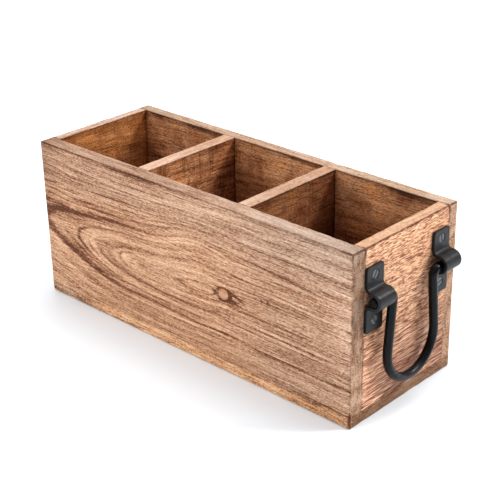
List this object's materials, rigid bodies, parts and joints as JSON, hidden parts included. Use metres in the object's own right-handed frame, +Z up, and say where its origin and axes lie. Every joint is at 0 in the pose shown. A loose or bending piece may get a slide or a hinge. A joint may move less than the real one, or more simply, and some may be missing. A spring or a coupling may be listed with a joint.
{
  "type": "cutlery caddy",
  "caption": "Open-topped wooden box with cross dividers for sorting cutlery, carried by a black iron drop handle that swings on screwed straps at each end.",
  "frame": {"origin": "centre of the base board's underside, on the table", "axes": "+X along the length, towards the handle that the picture shows; +Y from the long front board to the back board; +Z up, out of the open top"},
  "size_m": [0.3312, 0.112, 0.127],
  "materials": {
    "base_wood": "oiled mango wood",
    "front_wood": "oiled mango wood",
    "back_wood": "oiled mango wood",
    "left_end_wood": "oiled mango wood",
    "right_end_wood": "oiled mango wood",
    "left_divider_wood": "oiled mango wood",
    "right_divider_wood": "oiled mango wood",
    "strap_iron": "satin black",
    "handle_iron": "satin black",
    "screw_iron": "dark oxide",
    "brad_steel": "bright"
  },
  "bodies": {
    "caddy": {"base_board": "base_wood", "front_panel": "front_wood", "back_panel": "back_wood", "left_end_panel": "left_end_wood", "right_end_panel": "right_end_wood", "left_divider": "left_divider_wood", "right_divider": "right_divider_wood", "front_panel_brads": "brad_steel", "back_panel_brads": "brad_steel", "base_board_brads": "brad_steel", "left_front_strap": "strap_iron", "left_back_strap": "strap_iron", "right_front_strap": "strap_iron", "right_back_strap": "strap_iron", "left_front_strap_screws": "screw_iron", "left_back_strap_screws": "screw_iron", "right_front_strap_screws": "screw_iron", "right_back_strap_screws": "screw_iron"},
    "left_handle": {"left_handle": "handle_iron"},
    "right_handle": {"right_handle": "handle_iron"}
  },
  "joints": [
    {"name": "right_handle_swing", "type": "hinge", "parent": "caddy", "child": "right_handle", "pos_m": [0.159, -0.0008, 0.0908], "axis": [0, -1, 0], "range_deg": [-2.3, 184.5]},
    {"name": "left_handle_swing", "type": "hinge", "parent": "caddy", "child": "left_handle", "pos_m": [-0.159, -0.0008, 0.0908], "axis": [0, 1, 0], "range_deg": [-2.3, 184.5]}
  ]
}
